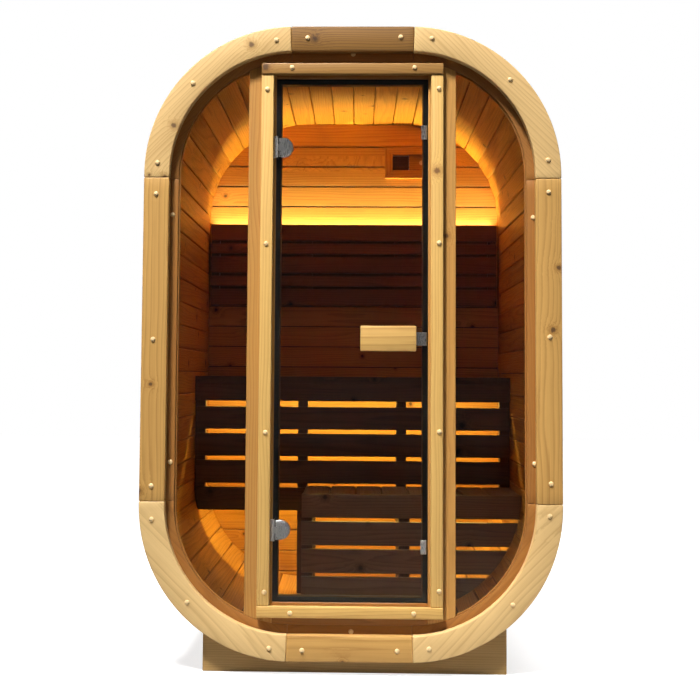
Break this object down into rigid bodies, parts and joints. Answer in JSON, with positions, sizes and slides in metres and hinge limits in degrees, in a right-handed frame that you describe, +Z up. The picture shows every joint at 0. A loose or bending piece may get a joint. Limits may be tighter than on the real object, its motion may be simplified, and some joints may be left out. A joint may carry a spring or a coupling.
{
  "type": "outdoor sauna cabin",
  "caption": "Outdoor sauna cabin: a rounded timber shell on cradles, with a glazed front, a hinged glass door, slatted benches, a backrest and light strips.",
  "frame": {"origin": "on the ground, at the middle of the overall width and depth", "axes": "+X to the right seen from the front, +Y from the glazed front to the back wall, +Z up"},
  "size_m": [1.39, 1.378, 2.145],
  "materials": {
    "ring_pine": "oiled pale pine, satin",
    "ring_pine_dark": "oiled brown pine, satin",
    "casing_pine": "oiled pale pine, satin",
    "frame_pine": "oiled brown pine, satin",
    "cedar_staves": "smooth red-brown boards, matt",
    "dark_wood": "heat-treated dark brown boards, matt",
    "handle_wood": "oiled pale wood, satin",
    "cradle_pine": "plain sawn pine, matt",
    "clear_glass": "clear toughened glass",
    "hinge_steel": "polished stainless steel",
    "seal_rubber": "black, matt",
    "warm_light": "lit diffuser, warm white"
  },
  "bodies": {
    "cabin": {"front_ring_top": "ring_pine_dark", "front_ring_bottom": "ring_pine", "front_ring_sides": "ring_pine", "front_ring_upper_corners": "ring_pine", "front_ring_lower_corners": "ring_pine", "back_ring_boards": "ring_pine", "back_ring_corners": "ring_pine", "wall_left": "cedar_staves", "wall_right": "cedar_staves", "ceiling": "cedar_staves", "floor": "cedar_staves", "shell_upper_corners": "cedar_staves", "shell_lower_corners": "cedar_staves", "back_wall": "cedar_staves", "front_frame_arch": "frame_pine", "front_frame_base": "frame_pine", "front_frame_sides": "frame_pine", "jamb_left": "casing_pine", "jamb_right": "casing_pine", "frame_head": "frame_pine", "frame_sill": "frame_pine", "casing_posts": "casing_pine", "casing_head": "casing_pine", "casing_sill": "casing_pine", "door_stop": "frame_pine", "door_seal": "seal_rubber", "side_glass": "clear_glass", "hinge_brackets": "hinge_steel", "vent_frame": "cedar_staves", "backrest_slats": "dark_wood", "backrest_rails": "dark_wood", "light_strips": "warm_light", "bench_seat": "dark_wood", "bench_skirt": "dark_wood", "bench_posts": "dark_wood", "step_top": "dark_wood", "step_skirt": "dark_wood", "step_posts": "dark_wood", "cradles": "cradle_pine"},
    "door": {"door_glass": "clear_glass", "hinge_plates": "hinge_steel", "door_handle": "handle_wood", "door_plates": "hinge_steel"},
    "vent_slide": {"vent_slider": "cedar_staves"}
  },
  "joints": [
    {"name": "door_hinge", "type": "hinge", "parent": "cabin", "child": "door", "pos_m": [-0.255, -0.657, 1.102], "axis": [0, 0, -1], "range_deg": [0, 105]},
    {"name": "vent_travel", "type": "slide", "parent": "cabin", "child": "vent_slide", "axis": [1, 0, 0], "range_m": [-0.08, 0]}
  ]
}
